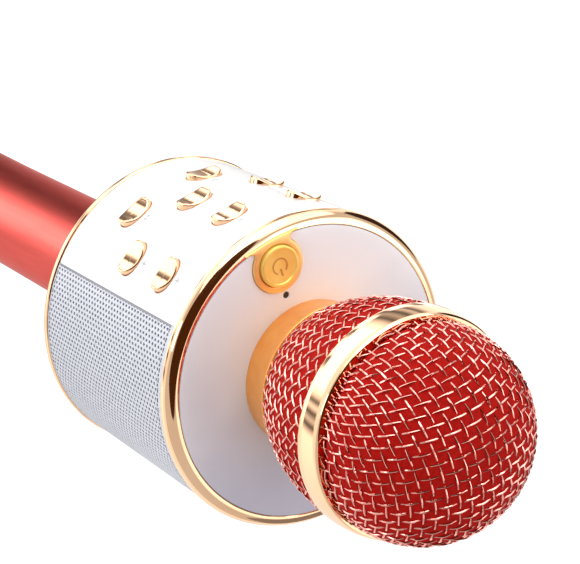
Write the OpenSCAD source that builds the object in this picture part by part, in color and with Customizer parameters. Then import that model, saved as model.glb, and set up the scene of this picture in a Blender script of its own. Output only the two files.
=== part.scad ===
// Karaoke microphone with a round speaker drum between its grip and its grille head.
// It stands upright: the origin is the centre of the end cap's flat foot, +Z runs
// along the grip to the grille head, and the button panel faces -Y.

/* [Grip] */
// Radius of the grip's straight lower stretch
grip_r = 13.5; // [13.2:0.1:13.8]
// Radius of the grip where it meets the drum
grip_top_r = 14.4; // [14.2:0.1:14.8]
// Height at which the straight stretch ends and the taper starts
grip_straight_z = 30; // [26:1:40]
// Inner radius of the grip tube
grip_bore_r = 12; // [11.9:0.1:12.2]
// Radius of the end cap's flat foot
foot_r = 10.8; // [9:0.2:11]

/* [Drum] */
// Outer radius of the front bezel
drum_front_r = 40; // [39.9:0.1:40.5]
// Height of the drum's rear edge above the foot
rear_z = 120.5; // [118:0.5:125]
// Length of the drum from its rear edge to the front bezel
drum_h = 59; // [58.5:0.5:60]
// How much the drum narrows for each millimetre towards the grip
drum_taper = 0.0368; // [0.03:0.001:0.04]
// How far the panel and the grille sit inside the bezel's edge
panel_inset = 0.4; // [0.3:0.1:0.5]
// Wall of the button panel
panel_t = 2; // [1.8:0.1:2]
// Half of the angle that the button panel covers
panel_half_angle = 46; // [45:1:48]
// Wall of the perforated grille
grille_t = 0.8; // [0.6:0.1:0.8]

/* [Buttons] */
// Length of a panel button around the drum
button_long = 9.2; // [8:0.2:9.6]
// Width of a panel button along the drum
button_wide = 6.5; // [6:0.1:7]
// How far a panel button stands out of the panel
button_rise = 1.3; // [1:0.1:1.6]
// Depth of the scoop across the top of a panel button
button_scoop = 0.8; // [0.4:0.1:0.9]
// How far a panel button can be pressed
button_travel = 0.6; // [0.4:0.1:0.6]
// Gap around each button in its hole
button_gap = 0.2; // [0.15:0.05:0.25]
// Angle from the panel's middle to its outer button columns
column_angle = 31.7; // [31:0.1:32]
// Distance of the first button row from the drum's front edge
row_1 = 13.6; // [13:0.1:14]
// Distance of the second button row from the drum's front edge
row_2 = 29.6; // [29:0.1:30]
// Distance of the third button row from the drum's front edge
row_3 = 42; // [41.5:0.1:43]
// Radius of the power button
power_r = 5.2; // [5:0.1:5.3]
// Distance of the power button from the axis
power_offset = 30.3; // [30:0.1:30.4]

/* [Speaker] */
// Half of the driver's square flange
driver_half = 25; // [24:0.5:25]
// Front face of the driver's baffle, measured from the axis
baffle_y = 22.5; // [22:0.1:22.5]

/* [Head] */
// Height of the collar above the top plate
collar_h = 11.2; // [11:0.1:11.5]
// Outer radius of the collar at its foot
collar_foot_r = 18.2; // [18:0.1:18.4]
// Outer radius of the collar at its rim
collar_rim_r = 20.9; // [20.6:0.1:21]
// Height of the rear mesh, from the collar to the head band
rear_mesh_h = 25.3; // [25:0.1:25.6]
// Width of the head band along the axis
band_w = 7.2; // [7:0.1:7.4]
// Radius of the head band's rear edge
band_rear_r = 28.1; // [28:0.1:28.2]
// Radius of the head band's front edge
band_front_r = 27.4; // [27.2:0.1:27.5]
// Radius of the front dome
dome_r = 26.57; // [26.4:0.01:26.7]
// Height of the dome's centre above the head band
dome_rise = 2.07; // [2:0.01:2.2]
// Thickness of the woven grille
mesh_t = 0.9; // [0.8:0.1:1]
// How far the rear mesh bulges past a straight cone
mesh_bulge = 1.8; // [1.5:0.1:2]

/* [Hidden] */
$fn = 96;

eps = 0.02;                          // gap between pieces that are fixed to each other
sliding_gap = 0.05;                  // radial gap of a turned fit that moves
facing = -90;                        // direction of the panel's middle, about +Z
end_r = grip_r - 0.5;                // radius of the end ring and the end cap
grip_end_z = 10;                     // lower end of the grip tube
cap_top_z = 5.5;                     // shoulder of the end cap
seal_t = 0.4;                        // thickness of the cap's seal
plate_t = 2.2;                       // thickness of the drum's rear and top plates
front_z = rear_z + drum_h;           // height of the drum's front edge
driver_z = (rear_z + front_z) / 2;   // height of the driver's axis
button_rows = [front_z - row_1, front_z - row_2, front_z - row_3];
rear_plate_z = rear_z - 1.7;         // underside of the rear plate
panel_lo_z = rear_z + 0.9;           // lower edge of the panel and the grille
panel_hi_z = front_z - 0.1;          // upper edge of the panel and the grille
rear_deck_z = rear_plate_z + plate_t;     // underside of the frame's rear deck
deck_t = 2;                          // thickness of the frame's decks
bay_lo_z = rear_deck_z + deck_t;     // floor of the drum's inner bay
bay_hi_z = front_z - 1.1;            // ceiling of the drum's inner bay
top_plate_z = front_z + 1;           // underside of the top plate
top_face_z = top_plate_z + plate_t;  // upper face of the top plate
bezel_h = 3.23;                      // height of the rounded front bezel
bezel_w = 3.33;                      // width of the rounded front bezel
bezel_in_r = drum_front_r - bezel_w; // inner radius of the front bezel
lug_r = 6.9;                         // radius of the power button's lug
lug_half_w = 5.4;                    // half width of the lug's neck
lug_lo_z = top_face_z - 0.7;         // underside of the lug
lug_hi_z = top_face_z + 0.7;         // upper face of the lug
collar_bore_r = 18;                  // bore that takes the head's thread
collar_top_z = top_face_z + collar_h;     // upper rim of the collar
collar_ledge_z = top_face_z + 4.8;        // ledge under the head's thread
collar_in_r = 14.4;                  // passage through the collar
spigot_r = 15.9;                     // collar's spigot through the plates
band_z = collar_top_z + rear_mesh_h;      // rear edge of the head band
band_top_z = band_z + band_w;        // front edge of the head band
dome_z = band_top_z + dome_rise;     // centre of the dome
mesh_foot_z = collar_top_z + 0.1;    // lower edge of the rear mesh
foam_t = 3.5;                        // wall of the foam liner
battery_z = 19;                      // lower end of the battery
battery_r = 9.2;                     // radius of a standard 18.4 mm cell
battery_h = 65;                      // height of a standard cell with its button end
jack_r = 1.8;                        // bore for a 3.5 mm plug
jack_x = -22;                        // place of the audio socket
charge_x = 22;                       // place of the charging socket
board_y = -9.6;                      // front face of the main board
board_t = 1.6;                       // thickness of the main board
charge_size = [9, 3.2, 8.2];         // outer size of the charging socket
screw_places = [[12.7, 27.2], [-12.7, 27.2], [0, -27]];
light_offset = 21.9;                 // distance of the status light from the axis
thread_r = 13.2;                     // radius of the grip's upper thread
thread_top_z = bay_lo_z + 4;         // upper end of the grip's thread
board_drop = 5.6;                    // outer face of the button board, below the panel
flange_lo = 3.4;                     // underside of a button, below the panel
flange_hi = 2.55;                    // top of a button's flange, below the panel

// Radius of the drum's outer skin at a height.
function drum_r(z) = drum_front_r - panel_inset - drum_taper * (front_z - z);

// Outer radius of the rear mesh at a height.
function mesh_r(z) =
    let (s = (z - mesh_foot_z) / (band_z - mesh_foot_z))
    collar_rim_r + (27.7 - collar_rim_r) * s + 4 * mesh_bulge * s * (1 - s);

// Points of an ellipse's quarter, from its side to its top.
function quarter(cx, cy, rx, ry, n = 8) =
    [for (i = [0 : n]) [cx + rx * cos(90 * i / n), cy + ry * sin(90 * i / n)]];

// Turned solid from a list of [radius, height] points.
module turned(points) {
    rotate_extrude() polygon(points);
}

// Plain ring about the axis.
module ring(outer_r, inner_r, z_lo, z_hi) {
    translate([0, 0, z_lo]) difference() {
        cylinder(r = outer_r, h = z_hi - z_lo);
        translate([0, 0, -1]) cylinder(r = inner_r, h = z_hi - z_lo + 2);
    }
}

// Stretch of the drum's skin between two depths, over an angle about the facing side.
module skin(depth_out, depth_in, z_lo, z_hi, from_angle, to_angle) {
    rotate([0, 0, facing + from_angle]) rotate_extrude(angle = to_angle - from_angle) polygon([
        [drum_r(z_lo) - depth_in, z_lo],
        [drum_r(z_lo) - depth_out, z_lo],
        [drum_r(z_hi) - depth_out, z_hi],
        [drum_r(z_hi) - depth_in, z_hi]
    ]);
}

// Puts its children on the drum's skin: their +Z points outwards, +Y runs around.
module on_skin(angle, z) {
    rotate([0, 0, facing + angle]) translate([drum_r(z), 0, z]) rotate([0, 90, 0]) children();
}

// Oval prism, long across Y.
module oval(length, width, lo, hi) {
    outline = [for (a = [0 : 10 : 350]) [width / 2 * cos(a), length / 2 * sin(a)]];
    translate([0, 0, lo]) linear_extrude(hi - lo) polygon(outline);
}

// Angle and height of each of the eight panel buttons.
function button_place(name) =
    name == "button_music_down" ? [-column_angle, button_rows[0]] :
    name == "button_play" ? [0, button_rows[0]] :
    name == "button_music_up" ? [column_angle, button_rows[0]] :
    name == "button_echo_down" ? [-column_angle, button_rows[1]] :
    name == "button_mode" ? [0, button_rows[1]] :
    name == "button_echo_up" ? [column_angle, button_rows[1]] :
    name == "button_previous" ? [-column_angle / 2, button_rows[2]] :
    [column_angle / 2, button_rows[2]];

button_names = [
    "button_music_down", "button_play", "button_music_up", "button_echo_down",
    "button_mode", "button_echo_up", "button_previous", "button_next"
];

// Slot with round ends, along X, standing on the origin.
module round_slot(length, width, height) {
    reach = (length - width) / 2;
    translate([-reach, -width / 2, 0]) cube([2 * reach, width, height]);
    for (side = [-1, 1]) translate([side * reach, 0, 0]) cylinder(d = width, h = height);
}

// ---- grip ----

// Red aluminium tube: a straight lower stretch, a taper and a threaded neck.
module handle_tube() {
    color("firebrick") turned([
        [grip_bore_r, grip_end_z],
        [grip_r, grip_end_z],
        [grip_r, grip_straight_z],
        [grip_top_r, rear_plate_z - 10.8],
        [grip_top_r, rear_plate_z - eps],
        [thread_r, rear_plate_z - eps],
        [thread_r, thread_top_z],
        [grip_bore_r, thread_top_z]
    ]);
}

// Gold ring pressed into the grip's lower end; the end cap screws into it.
module end_ring() {
    lo = cap_top_z + seal_t;
    color("goldenrod") turned([
        [11.45, lo],
        [end_r - 0.3, lo],
        [end_r, lo + 0.3],
        [end_r, grip_end_z - eps],
        [grip_bore_r - eps, grip_end_z - eps],
        [grip_bore_r - eps, 20],
        [11.45, 20]
    ]);
}

// Cap that closes the grip, with the flat foot the microphone stands on.
module end_cap() {
    spigot = 11.45 - sliding_gap;
    color("maroon") turned(concat(
        [[0, 0], [foot_r, 0]],
        [for (i = [1 : 6]) [foot_r + (end_r - foot_r) * sin(15 * i), 2.6 - 2.6 * cos(15 * i)]],
        [[end_r, cap_top_z], [spigot, cap_top_z], [spigot, 15], [9.6, 15], [9.6, 6.5], [0, 6.5]]
    ));
}

// Washer between the end cap and the end ring.
module cap_seal() {
    color("black") ring(end_r - 0.4, 11.7, cap_top_z, cap_top_z + seal_t);
}

// Cylindrical rechargeable cell with its raised end.
module battery() {
    color("royalblue") {
        translate([0, 0, battery_z]) cylinder(r = battery_r, h = battery_h - 0.7);
        translate([0, 0, battery_z]) cylinder(r = 2.8, h = battery_h);
    }
}

// Plastic sleeve that centres the cell in the grip.
module battery_sleeve() {
    color("dimgray") ring(grip_bore_r - 0.05, battery_r + 0.1, 20 + eps, 86);
}

// Coil spring that presses the cell from the end cap.
module battery_spring() {
    turns = 5;
    steps = 18;
    sides = 6;
    wire_r = 0.45;
    lo = 6.5 + wire_r + eps;
    hi = battery_z - wire_r - eps;
    count = turns * steps;
    function centre(i) =
        let (r = 6.6 - 1.6 * i / count)
        [r * cos(360 * i / steps), r * sin(360 * i / steps), lo + (hi - lo) * i / count];
    function rim(i) = [for (j = [0 : sides - 1])
        let (c = centre(i), a = 360 * i / steps, b = 360 * j / sides)
        [c[0] + wire_r * cos(b) * cos(a), c[1] + wire_r * cos(b) * sin(a), c[2] + wire_r * sin(b)]];
    points = [for (i = [0 : count]) each rim(i)];
    walls = [for (i = [0 : count - 1], j = [0 : sides - 1])
        let (k = (j + 1) % sides)
        [i * sides + j, i * sides + k, (i + 1) * sides + k, (i + 1) * sides + j]];
    ends = [
        [for (j = [sides - 1 : -1 : 0]) j],
        [for (j = [0 : sides - 1]) count * sides + j]
    ];
    color("silver") polyhedron(points, concat(walls, ends), convexity = 6);
}

// Contact disc above the cell.
module top_contact() {
    color("goldenrod") {
        translate([0, 0, 86 + eps]) cylinder(r = grip_bore_r - 0.1, h = 1.2);
        translate([0, 0, battery_z + battery_h + eps]) cylinder(r = 2.4, h = 2.2);
    }
}

// ---- drum ----

// Gold ring around the grip under the drum.
module neck_ring() {
    lo = rear_plate_z - 9;
    foot = grip_top_r + 1.1;
    color("goldenrod") turned(concat(
        [[grip_top_r + eps, lo], [foot, lo]],
        [for (i = [1 : 6]) [foot + 2.6 * (1 - cos(15 * i)), lo + 8.98 * sin(15 * i)]],
        [[grip_top_r + eps, rear_plate_z - eps]]
    ));
}

// Nut on the grip's thread that clamps the drum to the grip.
module ring_nut() {
    color("silver") difference() {
        translate([0, 0, bay_lo_z + eps]) cylinder(r = 18, h = 3.5, $fn = 6);
        translate([0, 0, bay_lo_z - 1]) cylinder(r = thread_r + eps, h = 6);
    }
}

// White plate that closes the drum on the grip's side.
module rear_plate() {
    color("whitesmoke") difference() {
        translate([0, 0, rear_plate_z]) cylinder(r = 36.6, h = plate_t - eps);
        translate([0, 0, rear_plate_z - 1]) {
            cylinder(r = thread_r + eps, h = 5);
            for (place = screw_places) translate([place[0], place[1], 0]) cylinder(r = 1.25, h = 5);
            translate([jack_x, board_y - 3.1, 0]) cylinder(r = 2.95, h = 5);
            translate([charge_x, board_y - 1.65, 0])
                round_slot(charge_size[0] + 0.2, charge_size[1] + 0.2, 5);
        }
    }
}

// Thin gold trim ring around the drum's rear edge.
module rear_ring() {
    lo = rear_z - 0.8;
    hi = panel_lo_z - eps;
    mid = (lo + hi) / 2;
    half = (hi - lo) / 2;
    color("goldenrod") turned(concat(
        [[36.6 + eps, lo]],
        [for (i = [-4 : 4]) [37.4 + 0.5 * cos(22.5 * i), mid + half * sin(22.5 * i)]],
        [[36.6 + eps, hi]]
    ));
}

// Screws that hold the rear plate to the frame.
module frame_screws() {
    color("dimgray") for (place = screw_places) translate([place[0], place[1], 0]) difference() {
        union() {
            translate([0, 0, rear_plate_z - 1.2]) cylinder(r = 2.3, h = 1.2 - eps);
            translate([0, 0, rear_plate_z - 1]) cylinder(r = 1.2, h = 5);
        }
        translate([0, 0, rear_plate_z - 1.3]) cylinder(r = 1, h = 0.7, $fn = 6);
    }
}

// Inner frame: two round decks joined by four ribs.
module drum_frame() {
    rear_r = drum_r(bay_lo_z) - panel_t - 0.2;
    color("gainsboro") difference() {
        union() {
            translate([0, 0, rear_deck_z]) cylinder(r = rear_r, h = deck_t);
            translate([0, 0, bay_hi_z]) cylinder(r = bezel_in_r - 0.2, h = top_plate_z - eps - bay_hi_z);
            translate([0, 0, bay_hi_z]) cylinder(r = 37.2, h = 1);
            for (angle = [-125, -49, 49, 125]) rotate([0, 0, facing + angle])
                translate([32.6, -2, rear_deck_z]) cube([2.6, 4, bay_hi_z - rear_deck_z + 1]);
        }
        translate([0, 0, rear_deck_z - 1]) cylinder(r = thread_r + eps, h = 5);
        translate([0, 0, bay_hi_z - 1]) cylinder(r = spigot_r + eps, h = 6);
        translate([0, -power_offset, bay_hi_z - 1]) cylinder(r = 2.3, h = 6);
        translate([0, -light_offset, bay_hi_z - 1]) cylinder(r = 0.85, h = 6);
        for (place = screw_places)
            translate([place[0], place[1], rear_deck_z - 1]) cylinder(r = 1.2 + eps, h = 5);
        translate([jack_x, board_y - 3.1, rear_deck_z - 1]) cylinder(r = 2.95, h = 5);
        translate([charge_x, board_y - 1.65, rear_deck_z - 1])
            round_slot(charge_size[0] + 0.2, charge_size[1] + 0.2, 5);
    }
}

// Puts its children on the driver's axis: their +Z points out of the drum's back.
module on_driver() {
    translate([0, 0, driver_z]) rotate([-90, 0, 0]) children();
}

// Flat wall that carries the driver between the two decks.
module speaker_baffle() {
    color("dimgray") difference() {
        translate([-driver_half, baffle_y - 2, bay_lo_z + eps])
            cube([2 * driver_half, 2, bay_hi_z - bay_lo_z - 2 * eps]);
        on_driver() translate([0, 0, baffle_y - 3]) cylinder(r = 22.6, h = 4);
        driver_holes() cylinder(r = 1.1, h = 10, center = true);
    }
}

// Repeats its children at the driver's four screws, on the baffle's face.
module driver_holes() {
    for (sx = [-1, 1], sz = [-1, 1]) on_driver() translate([19.8 * sx, 19.8 * sz, baffle_y]) children();
}

// Pressed steel frame of the driver.
module speaker_basket() {
    color("gray") difference() {
        union() {
            on_driver() translate([0, 0, baffle_y + eps]) intersection() {
                translate([-driver_half, -driver_half, 0]) cube([2 * driver_half, 2 * driver_half, 1.6]);
                cylinder(r = 31.5, h = 1.6);
            }
            on_driver() turned([
                [8.5, 9.6], [15, 9.6], [22.5, baffle_y - 4], [22.5, baffle_y + 1],
                [21.6, baffle_y + 1], [21.6, baffle_y - 3.6], [14.5, 10.8], [8.5, 10.8]
            ]);
        }
        on_driver() translate([0, 0, baffle_y - 1]) cylinder(r = 21.6, h = 4);
        driver_holes() cylinder(r = 1.1, h = 10, center = true);
    }
}

// Ring magnet behind the driver's frame.
module speaker_magnet() {
    color("darkslategray") on_driver() difference() {
        translate([0, 0, 0.4]) cylinder(r = 16, h = 9.2 - eps);
        translate([0, 0, 2.4]) cylinder(r = 7.6, h = 9);
    }
}

// Driver's cone with its dust cap and voice coil.
module speaker_cone() {
    color("dimgray") on_driver() turned([
        [6, 9], [6.6, 9], [6.6, 14], [18.8, 22.2], [18.8, 22.8], [17.8, 22.8],
        [7.4, 15.6], [5, 17], [0, 17.8], [0, 17.2], [4.6, 16.4], [6, 15]
    ]);
}

// Soft roll between the cone and the driver's frame.
module speaker_surround() {
    color("black") on_driver() turned(concat(
        [[21.5, 22.6]],
        [for (i = [0 : 8]) [20.3 + 1.2 * cos(22.5 * i), 22.9 + 1.2 * sin(22.5 * i)]],
        [[19.1, 22.6], [19.6, 22.6]],
        [for (i = [8 : -1 : 0]) [20.3 + 0.7 * cos(22.5 * i), 22.9 + 0.7 * sin(22.5 * i)]],
        [[21, 22.6]]
    ));
}

// Screws that hold the driver to its baffle.
module speaker_screws() {
    color("silver") driver_holes() {
        translate([0, 0, 1.6 + 2 * eps]) cylinder(r = 1.9, h = 1);
        translate([0, 0, -3]) cylinder(r = 1.08, h = 5);
    }
}

// Main circuit board between the decks, notched around the two clamping nuts.
module main_board() {
    half_w = 26;
    notch_w = 20.2;
    color("darkgreen") difference() {
        translate([-half_w, board_y, bay_lo_z + eps])
            cube([2 * half_w, board_t, bay_hi_z - bay_lo_z - 2 * eps]);
        translate([-notch_w, board_y - 1, bay_lo_z - 1]) cube([2 * notch_w, board_t + 2, 6.5]);
        translate([-notch_w, board_y - 1, bay_hi_z - 4.5]) cube([2 * notch_w, board_t + 2, 6]);
    }
}

// Chips, coils and connectors on the main board.
module board_parts() {
    face = board_y - eps;
    color("black") {
        for (part = [[-4, 0, 10, 10, 1.2], [12, 8, 6, 8, 1.5], [-18, 10, 8, 6, 1.4], [10, -10, 7, 7, 3]])
            translate([part[0], face - part[4], driver_z + part[1]]) cube([part[2], part[4], part[3]]);
        for (x = [-16, -9, 18])
            translate([x, face, driver_z - 4]) rotate([90, 0, 0]) cylinder(r = 2, h = 5);
    }
}

// Charging socket at the board's lower edge, open towards the grip.
module charge_socket() {
    color("silver") translate([charge_x, board_y - 1.65, rear_plate_z]) {
        difference() {
            round_slot(charge_size[0], charge_size[1], charge_size[2]);
            translate([0, 0, -1]) round_slot(charge_size[0] - 0.66, charge_size[1] - 0.66, 7.5);
        }
        translate([-3.3, -0.35, 1]) cube([6.6, 0.7, 6]);
    }
}

// Audio socket for a 3.5 mm plug, open towards the grip.
module audio_socket() {
    color("black") translate([jack_x, board_y - 3.1, 0]) difference() {
        union() {
            translate([0, 0, rear_plate_z]) cylinder(r = 2.9, h = 6);
            translate([-3.1, -3, bay_lo_z + eps]) cube([6.2, 6, 11]);
        }
        translate([0, 0, rear_plate_z - 1]) cylinder(r = jack_r, h = 14.5);
    }
}

// Perforated metal skin around the drum, from one panel edge to the other.
module speaker_grille() {
    gap = 0.15;
    color("lightgray")
        skin(0, grille_t, panel_lo_z, panel_hi_z, panel_half_angle + gap, 360 - panel_half_angle - gap);
}

// Dark cloth behind the perforated skin.
module grille_cloth() {
    color("black") skin(grille_t + 0.05, grille_t + 0.35, panel_lo_z + 1, panel_hi_z - 1,
        panel_half_angle + 6, 354 - panel_half_angle);
}

// White curved panel with a hole for each button.
module control_panel() {
    hole_long = button_long + 2 * button_gap;
    hole_wide = button_wide + 2 * button_gap;
    color("white") difference() {
        skin(0, panel_t, panel_lo_z, panel_hi_z, -panel_half_angle, panel_half_angle);
        for (name = button_names)
            on_skin(button_place(name)[0], button_place(name)[1]) oval(hole_long, hole_wide, -4, 2);
    }
}

// Flexible circuit that follows the panel's curve under the buttons.
module button_board() {
    color("darkgreen")
        skin(board_drop, board_drop + 0.8, bay_lo_z + eps, bay_hi_z - eps, -41, 41);
}

// One push switch under each panel button.
module key_switches() {
    lift = 0.26;
    rest_gap = button_travel + 0.15;
    stem_h = board_drop - flange_lo - rest_gap - lift;
    color("dimgray") for (name = button_names)
        on_skin(button_place(name)[0], button_place(name)[1]) translate([0, 0, lift - board_drop]) {
            translate([-3, -3, 0]) cube([6, 6, 1]);
            cylinder(r = 1.7, h = stem_h);
        }
}

// One gold panel button: oval cap scooped along its length, and the flange that keeps it in.
module panel_button(name) {
    end_land = 0.8;
    half_chord = button_long / 2 - end_land;
    scoop_r = (pow(half_chord, 2) + pow(button_scoop, 2)) / (2 * button_scoop);
    color("goldenrod") on_skin(button_place(name)[0], button_place(name)[1]) {
        difference() {
            oval(button_long, button_wide, -flange_lo, button_rise);
            translate([0, 0, button_rise + scoop_r - button_scoop]) rotate([90, 0, 0])
                cylinder(r = scoop_r, h = button_wide + 2, center = true);
        }
        oval(button_long + 1.6, button_wide + 1.6, -flange_lo, -flange_hi);
    }
}

module button_music_down() { panel_button("button_music_down"); }
module button_play() { panel_button("button_play"); }
module button_music_up() { panel_button("button_music_up"); }
module button_echo_down() { panel_button("button_echo_down"); }
module button_mode() { panel_button("button_mode"); }
module button_echo_up() { panel_button("button_echo_up"); }
module button_previous() { panel_button("button_previous"); }
module button_next() { panel_button("button_next"); }

// ---- front of the drum ----

// Outline of the power button's lug, grown by a margin.
module lug_outline(margin, z_lo, z_hi) {
    translate([0, -power_offset, z_lo]) cylinder(r = lug_r + margin, h = z_hi - z_lo);
    translate([-lug_half_w - margin, -bezel_in_r - 0.6, z_lo])
        cube([2 * (lug_half_w + margin), bezel_in_r + 0.6 - power_offset, z_hi - z_lo]);
}

// Gold bezel: a quarter-round ring with a lug around the power button.
module front_bezel() {
    color("goldenrod") difference() {
        union() {
            turned(concat(
                [[bezel_in_r, panel_hi_z + eps], [drum_front_r, panel_hi_z + eps]],
                quarter(bezel_in_r, front_z, bezel_w, bezel_h)
            ));
            lug_outline(0, lug_lo_z, lug_hi_z);
        }
        translate([0, -power_offset, lug_lo_z - 1]) cylinder(r = power_r + 0.15, h = 4);
    }
}

// White round plate inside the bezel.
module top_plate() {
    color("white") difference() {
        translate([0, 0, top_plate_z]) cylinder(r = bezel_in_r - 0.1, h = plate_t);
        translate([0, 0, top_plate_z - 1]) cylinder(r = spigot_r + eps, h = 5);
        translate([0, -light_offset, top_plate_z - 1]) cylinder(r = 0.85, h = 5);
        lug_outline(0.1, top_plate_z - 1, top_plate_z + 5);
    }
}

// Round power button with its flange and stem.
module power_button() {
    color("goldenrod") translate([0, -power_offset, 0]) {
        translate([0, 0, lug_lo_z - 0.1]) cylinder(r = power_r, h = 2.5);
        translate([0, 0, lug_lo_z - 0.9]) cylinder(r = 6.2, h = 0.8);
        translate([0, 0, bay_hi_z - 1.6]) cylinder(r = 2, h = lug_lo_z - bay_hi_z + 1);
    }
}

// Switch under the power button's stem.
module power_switch() {
    color("black") translate([0, -power_offset, bay_hi_z - 4.4]) difference() {
        translate([-3.5, -2, 0]) cube([7, 4.4, 4.4 - eps]);
        translate([0, 0, 2]) cylinder(r = 2.15, h = 3);
    }
}

// Light pipe beside the collar.
module status_light() {
    color("darkslategray") translate([0, -light_offset, bay_hi_z - 0.5])
        cylinder(r = 0.8, h = top_face_z - bay_hi_z + 0.3);
}

// Flared collar that carries the grille head.
module collar() {
    color("peru") turned([
        [collar_in_r, bay_hi_z - 3],
        [spigot_r, bay_hi_z - 3],
        [spigot_r, top_face_z + eps],
        [collar_foot_r, top_face_z + eps],
        [collar_foot_r + 0.5, top_face_z + 4],
        [collar_foot_r + 1.4, top_face_z + 8],
        [collar_rim_r - 0.1, collar_top_z],
        [collar_bore_r, collar_top_z],
        [collar_bore_r, collar_ledge_z],
        [collar_in_r, collar_ledge_z]
    ]);
}

// Nut that clamps the collar to the frame.
module collar_nut() {
    color("silver") difference() {
        translate([0, 0, bay_hi_z - 2.6]) cylinder(r = 19.6, h = 2.6 - eps, $fn = 6);
        translate([0, 0, bay_hi_z - 4]) cylinder(r = spigot_r + eps, h = 6);
    }
}

// ---- head ----

// Post and cup that hold the capsule in the middle of the head.
module capsule_cradle() {
    color("dimgray") translate([0, 0, collar_ledge_z]) difference() {
        turned([
            [0, -4.3], [collar_in_r - eps, -4.3], [collar_in_r - eps, -0.5],
            [10.2, 1.5], [6, 3.5], [6, 14.5], [10.4, 17.5], [10.4, 27.5], [0, 27.5]
        ]);
        translate([0, 0, 18.5]) cylinder(r = 9, h = 12);
        translate([0, 0, -8]) cylinder(r = 2, h = 40);
    }
}

// Rubber ring that isolates the capsule.
module capsule_ring() {
    color("black") ring(9 - eps, 8 + eps, collar_ledge_z + 20.5, collar_ledge_z + 26.5);
}

// Microphone capsule.
module mic_capsule() {
    color("silver") translate([0, 0, collar_ledge_z + 18.9]) {
        cylinder(r = 8, h = 13);
        cylinder(r = 7.2, h = 14.5);
    }
}

// Washer on the collar's ledge; it turns with the head while the head climbs.
module head_seal() {
    color("black") ring(17.4, collar_in_r + 0.4, collar_ledge_z, collar_ledge_z + 0.5);
}

// Threaded ring at the foot of the head.
module thread_ring() {
    color("goldenrod") turned([
        [16.2, collar_ledge_z + 0.5],
        [collar_bore_r - sliding_gap, collar_ledge_z + 0.5],
        [collar_bore_r - sliding_gap, mesh_foot_z],
        [collar_rim_r - mesh_t - 0.15, mesh_foot_z],
        [collar_rim_r - mesh_t - 0.15, mesh_foot_z + 1.2],
        [16.2, mesh_foot_z + 1.2]
    ]);
}

// Woven lower part of the grille, bulging from the collar to the band.
module rear_mesh() {
    steps = 10;
    heights = [for (i = [0 : steps]) mesh_foot_z + (band_z - eps - mesh_foot_z) * i / steps];
    color("tomato") turned(concat(
        [for (z = heights) [mesh_r(z), z]],
        [for (i = [steps : -1 : 0]) [mesh_r(heights[i]) - mesh_t, heights[i]]]
    ));
}

// Gold band around the head's widest part.
module head_band() {
    steps = 8;
    color("goldenrod") turned(concat(
        [[25.2, band_z]],
        [for (i = [0 : steps])
            let (s = i / steps)
            [band_rear_r + (band_front_r - band_rear_r) * s + 1.2 * s * (1 - s), band_z + band_w * s]],
        [[25.2, band_top_z]]
    ));
}

// Woven dome that closes the head.
module front_mesh() {
    color("tomato") difference() {
        translate([0, 0, dome_z]) sphere(r = dome_r);
        translate([0, 0, dome_z]) sphere(r = dome_r - mesh_t);
        translate([0, 0, band_top_z + eps - 60]) cylinder(r = 40, h = 60);
    }
}

// Foam that lines the whole head.
module foam_liner() {
    outer_r = dome_r - mesh_t - 0.4;
    low = mesh_foot_z + 1.5;
    heights = [for (i = [0 : 6]) low + (band_z - 1 - low) * i / 6];
    function wall(inset) = [for (z = heights) [min(mesh_r(z) - mesh_t - 0.4, 24.9) - inset, z]];
    function dome(r) = [for (i = [0 : 12]) [r * cos(7.5 * i), dome_z + r * sin(7.5 * i)]];
    inner = concat(wall(foam_t), dome(outer_r - foam_t));
    color("darkred") turned(concat(
        wall(0),
        [[24.9, band_top_z]],
        dome(outer_r - 0.3),
        [for (i = [len(inner) - 1 : -1 : 0]) inner[i]]
    ));
}

handle_tube();
end_ring();
end_cap();
cap_seal();
battery();
battery_sleeve();
battery_spring();
top_contact();
neck_ring();
ring_nut();
rear_plate();
rear_ring();
frame_screws();
drum_frame();
speaker_baffle();
speaker_basket();
speaker_magnet();
speaker_cone();
speaker_surround();
speaker_screws();
main_board();
board_parts();
charge_socket();
audio_socket();
speaker_grille();
grille_cloth();
control_panel();
button_board();
key_switches();
button_music_down();
button_play();
button_music_up();
button_echo_down();
button_mode();
button_echo_up();
button_previous();
button_next();
front_bezel();
top_plate();
power_button();
power_switch();
status_light();
collar();
collar_nut();
capsule_cradle();
capsule_ring();
mic_capsule();
head_seal();
thread_ring();
rear_mesh();
head_band();
front_mesh();
foam_liner();
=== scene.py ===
import math

import bmesh
import bpy
import numpy as np
from mathutils import Matrix, Vector
from mathutils.geometry import delaunay_2d_cdt


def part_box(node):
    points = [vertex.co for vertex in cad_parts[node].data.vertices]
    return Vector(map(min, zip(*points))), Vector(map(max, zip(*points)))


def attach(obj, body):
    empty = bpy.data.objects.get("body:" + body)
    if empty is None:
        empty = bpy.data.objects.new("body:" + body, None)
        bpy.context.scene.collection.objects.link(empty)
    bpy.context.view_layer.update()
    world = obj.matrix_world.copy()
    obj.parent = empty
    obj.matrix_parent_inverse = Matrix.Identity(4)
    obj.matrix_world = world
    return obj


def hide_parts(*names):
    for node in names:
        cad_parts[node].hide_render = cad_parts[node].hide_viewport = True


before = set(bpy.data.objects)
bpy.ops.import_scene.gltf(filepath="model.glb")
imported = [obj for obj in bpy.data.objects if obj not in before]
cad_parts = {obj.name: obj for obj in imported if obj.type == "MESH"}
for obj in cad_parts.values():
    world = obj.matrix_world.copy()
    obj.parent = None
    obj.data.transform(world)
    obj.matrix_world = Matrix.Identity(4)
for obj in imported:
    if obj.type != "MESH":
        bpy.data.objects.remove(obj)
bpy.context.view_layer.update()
scene = bpy.context.scene

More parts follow.
